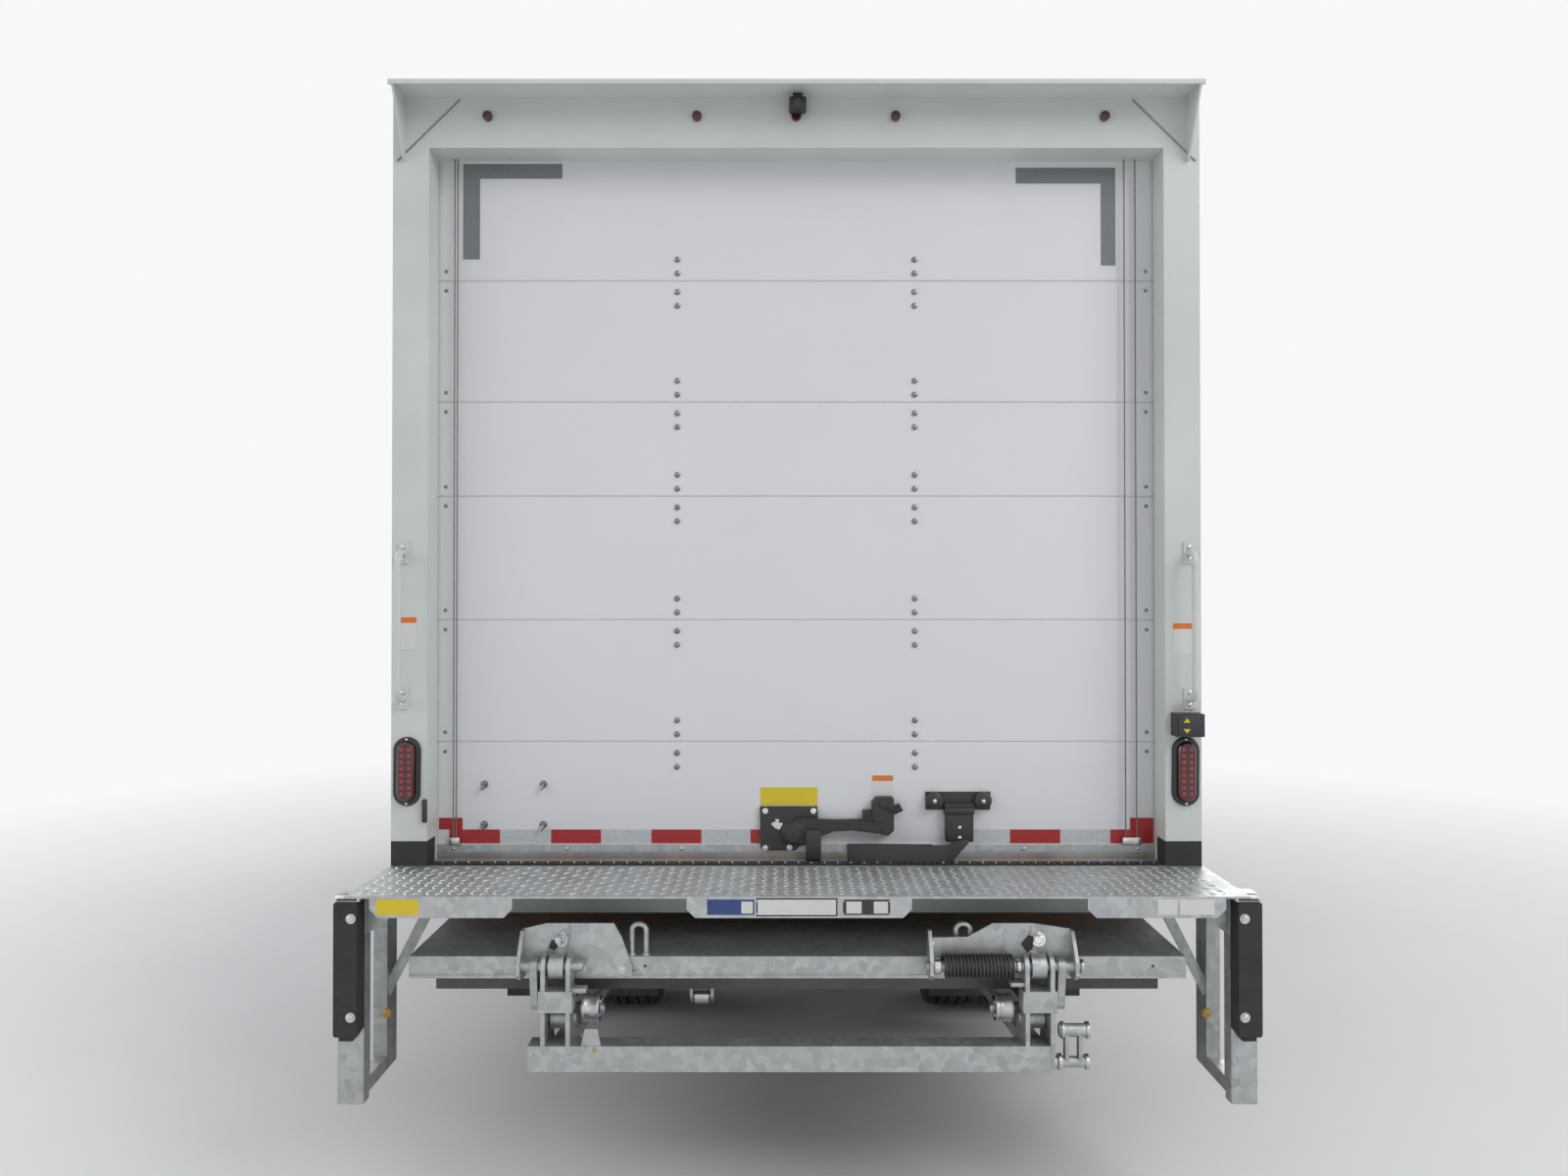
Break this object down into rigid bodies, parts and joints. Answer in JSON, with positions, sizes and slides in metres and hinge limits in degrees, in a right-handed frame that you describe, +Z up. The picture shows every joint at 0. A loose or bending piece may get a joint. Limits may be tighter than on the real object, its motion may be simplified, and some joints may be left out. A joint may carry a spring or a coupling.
{
  "type": "box truck",
  "caption": "Box truck with a tilting cab over the engine, a dry freight body with a roll-up rear door, and a lift gate that tucks under the body.",
  "frame": {"origin": "on the ground under the middle of the truck's bounding box", "axes": "+Y the driving direction, +X the truck's right, +Z up"},
  "size_m": [2.58, 7.173, 3.323],
  "materials": {
    "painted_white": "gloss white paint",
    "door_white": "smooth white prefinished panel",
    "body_white": "white prefinished sheet",
    "cab_paint": "gloss white cab paint",
    "galvanised": "hot-dip galvanised, mottled grey",
    "chassis_black": "satin black chassis paint",
    "cast_iron": "dark cast iron",
    "bright_steel": "ground and chromed steel",
    "wheel_white": "white painted disc wheel",
    "tyre": "black tyre rubber",
    "rubber": "black moulded rubber",
    "aluminium": "mill finish aluminium",
    "deck": "laminated hardwood planks",
    "glass": "clear laminated glass",
    "red_lens": "red lamp lens",
    "clear_lens": "clear lamp lens",
    "black_plastic": "grained black plastic",
    "interior": "grey moulded trim",
    "seat_fabric": "grey woven seat cloth",
    "webbing": "black woven webbing"
  },
  "bodies": {
    "chassis": {"frame_rails": "chassis_black", "leaf_springs": "chassis_black", "front_axle": "chassis_black", "rear_axle": "chassis_black", "engine": "cast_iron", "driveshaft": "chassis_black", "fuel_tank": "chassis_black", "battery_box": "black_plastic", "exhaust": "aluminium", "front_bumper": "cab_paint", "box_floor": "deck", "box_side_walls": "body_white", "box_front_wall": "body_white", "box_roof": "body_white", "rear_frame": "painted_white", "rollup_door": "door_white", "door_hardware": "chassis_black", "pull_strap": "webbing", "extension_plate": "galvanised", "step_frames": "galvanised", "dock_bumpers": "rubber", "tail_lamps": "red_lens", "marker_lamps": "red_lens", "grab_handles": "galvanised", "lift_switch": "black_plastic", "lift_frame": "galvanised", "rub_rails": "aluminium", "mudflaps": "rubber"},
    "knuckle_left": {"knuckle_left": "cast_iron"},
    "knuckle_right": {"knuckle_right": "cast_iron"},
    "tie_rod": {"tie_rod": "chassis_black"},
    "front_left_wheel": {"tyre_front_left": "tyre", "wheel_front_left": "wheel_white"},
    "front_right_wheel": {"tyre_front_right": "tyre", "wheel_front_right": "wheel_white"},
    "rear_left_wheels": {"tyres_rear_left": "tyre", "wheels_rear_left": "wheel_white"},
    "rear_right_wheels": {"tyres_rear_right": "tyre", "wheels_rear_right": "wheel_white"},
    "cab": {"cab_shell": "cab_paint", "cab_glass": "glass", "cab_seats": "seat_fabric", "dashboard": "interior", "grille": "black_plastic", "headlamps": "clear_lens", "cab_mirrors": "black_plastic", "cab_fenders": "black_plastic"},
    "steering_wheel": {"steering_wheel": "interior"},
    "door_left": {"cab_door_left": "cab_paint", "door_glass_left": "glass"},
    "door_right": {"cab_door_right": "cab_paint", "door_glass_right": "glass"},
    "lift_arms": {"lift_arms": "galvanised"},
    "lift_links": {"lift_links": "galvanised"},
    "lift_shackles": {"shackles": "galvanised"},
    "lift_platform": {"lift_platform": "aluminium", "lift_flipover": "aluminium", "gate_spring": "chassis_black"},
    "lift_cylinder": {"lift_cylinder": "chassis_black"},
    "lift_rod": {"lift_rod": "bright_steel"}
  },
  "joints": [
    {"name": "steer_left", "type": "hinge", "parent": "chassis", "child": "knuckle_left", "pos_m": [-0.735, 2.3695, 0.405], "axis": [0, 0, 1], "range_deg": [-35, 35]},
    {"name": "steer_right", "type": "hinge", "parent": "chassis", "child": "knuckle_right", "pos_m": [0.735, 2.3695, 0.405], "axis": [0, 0, 1], "range_deg": [-35, 35]},
    {"name": "tie_rod_pivot", "type": "hinge", "parent": "knuckle_left", "child": "tie_rod", "pos_m": [-0.735, 2.2195, 0.277], "axis": [0, 0, 1], "range_deg": [-35, 35]},
    {"name": "front_left_spin", "type": "hinge", "parent": "knuckle_left", "child": "front_left_wheel", "pos_m": [-0.835, 2.3695, 0.405], "axis": [-1, 0, 0], "continuous": true},
    {"name": "front_right_spin", "type": "hinge", "parent": "knuckle_right", "child": "front_right_wheel", "pos_m": [0.835, 2.3695, 0.405], "axis": [-1, 0, 0], "continuous": true},
    {"name": "rear_left_spin", "type": "hinge", "parent": "chassis", "child": "rear_left_wheels", "pos_m": [-0.825, -1.4405, 0.405], "axis": [-1, 0, 0], "continuous": true},
    {"name": "rear_right_spin", "type": "hinge", "parent": "chassis", "child": "rear_right_wheels", "pos_m": [0.825, -1.4405, 0.405], "axis": [-1, 0, 0], "continuous": true},
    {"name": "cab_tilt", "type": "hinge", "parent": "chassis", "child": "cab", "pos_m": [0, 3.47, 0.605], "axis": [-1, 0, 0], "range_deg": [0, 45]},
    {"name": "steering_wheel_turn", "type": "hinge", "parent": "cab", "child": "steering_wheel", "pos_m": [-0.56, 3.01, 1.42], "axis": [0, -0.6428, 0.766], "range_deg": [-630, 630]},
    {"name": "door_left_hinge", "type": "hinge", "parent": "cab", "child": "door_left", "pos_m": [-1.01, 3.2535, 1.4], "axis": [0, 0, -1], "range_deg": [0, 70]},
    {"name": "door_right_hinge", "type": "hinge", "parent": "cab", "child": "door_right", "pos_m": [1.01, 3.2535, 1.4], "axis": [0, 0, 1], "range_deg": [0, 70]},
    {"name": "lift", "type": "hinge", "parent": "chassis", "child": "lift_arms", "pos_m": [0, -2.6005, 0.56], "axis": [1, 0, 0], "range_deg": [0, 33]},
    {"name": "link_pivot", "type": "hinge", "parent": "chassis", "child": "lift_links", "pos_m": [0, -2.5705, 0.475], "axis": [1, 0, 0], "range_deg": [0, 33]},
    {"name": "shackle_pivot", "type": "hinge", "parent": "lift_arms", "child": "lift_shackles", "pos_m": [0, -3.4955, 0.645], "axis": [1, 0, 0], "range_deg": [-33, 0]},
    {"name": "platform_lean", "type": "hinge", "parent": "lift_shackles", "child": "lift_platform", "pos_m": [0, -3.5455, 0.8], "axis": [1, 0, 0], "range_deg": [0, 49.5]},
    {"name": "cylinder_pivot", "type": "hinge", "parent": "chassis", "child": "lift_cylinder", "pos_m": [-0.3, -2.4755, 0.455], "axis": [1, 0, 0], "range_deg": [0, 24.75]},
    {"name": "rod_slide", "type": "slide", "parent": "lift_cylinder", "child": "lift_rod", "axis": [0, -0.9887, 0.1498], "range_m": [-0.0635, 0]}
  ],
  "couplings": [
    {"joint": "steer_right", "follows": "steer_left", "ratio": 1},
    {"joint": "tie_rod_pivot", "follows": "steer_left", "ratio": -1},
    {"joint": "steering_wheel_turn", "follows": "steer_left", "ratio": 18},
    {"joint": "link_pivot", "follows": "lift", "ratio": 1},
    {"joint": "shackle_pivot", "follows": "lift", "ratio": -1},
    {"joint": "platform_lean", "follows": "lift", "ratio": 1.5},
    {"joint": "cylinder_pivot", "follows": "lift", "ratio": 0.75},
    {"joint": "rod_slide", "follows": "lift", "m_per_rad": -0.109}
  ]
}
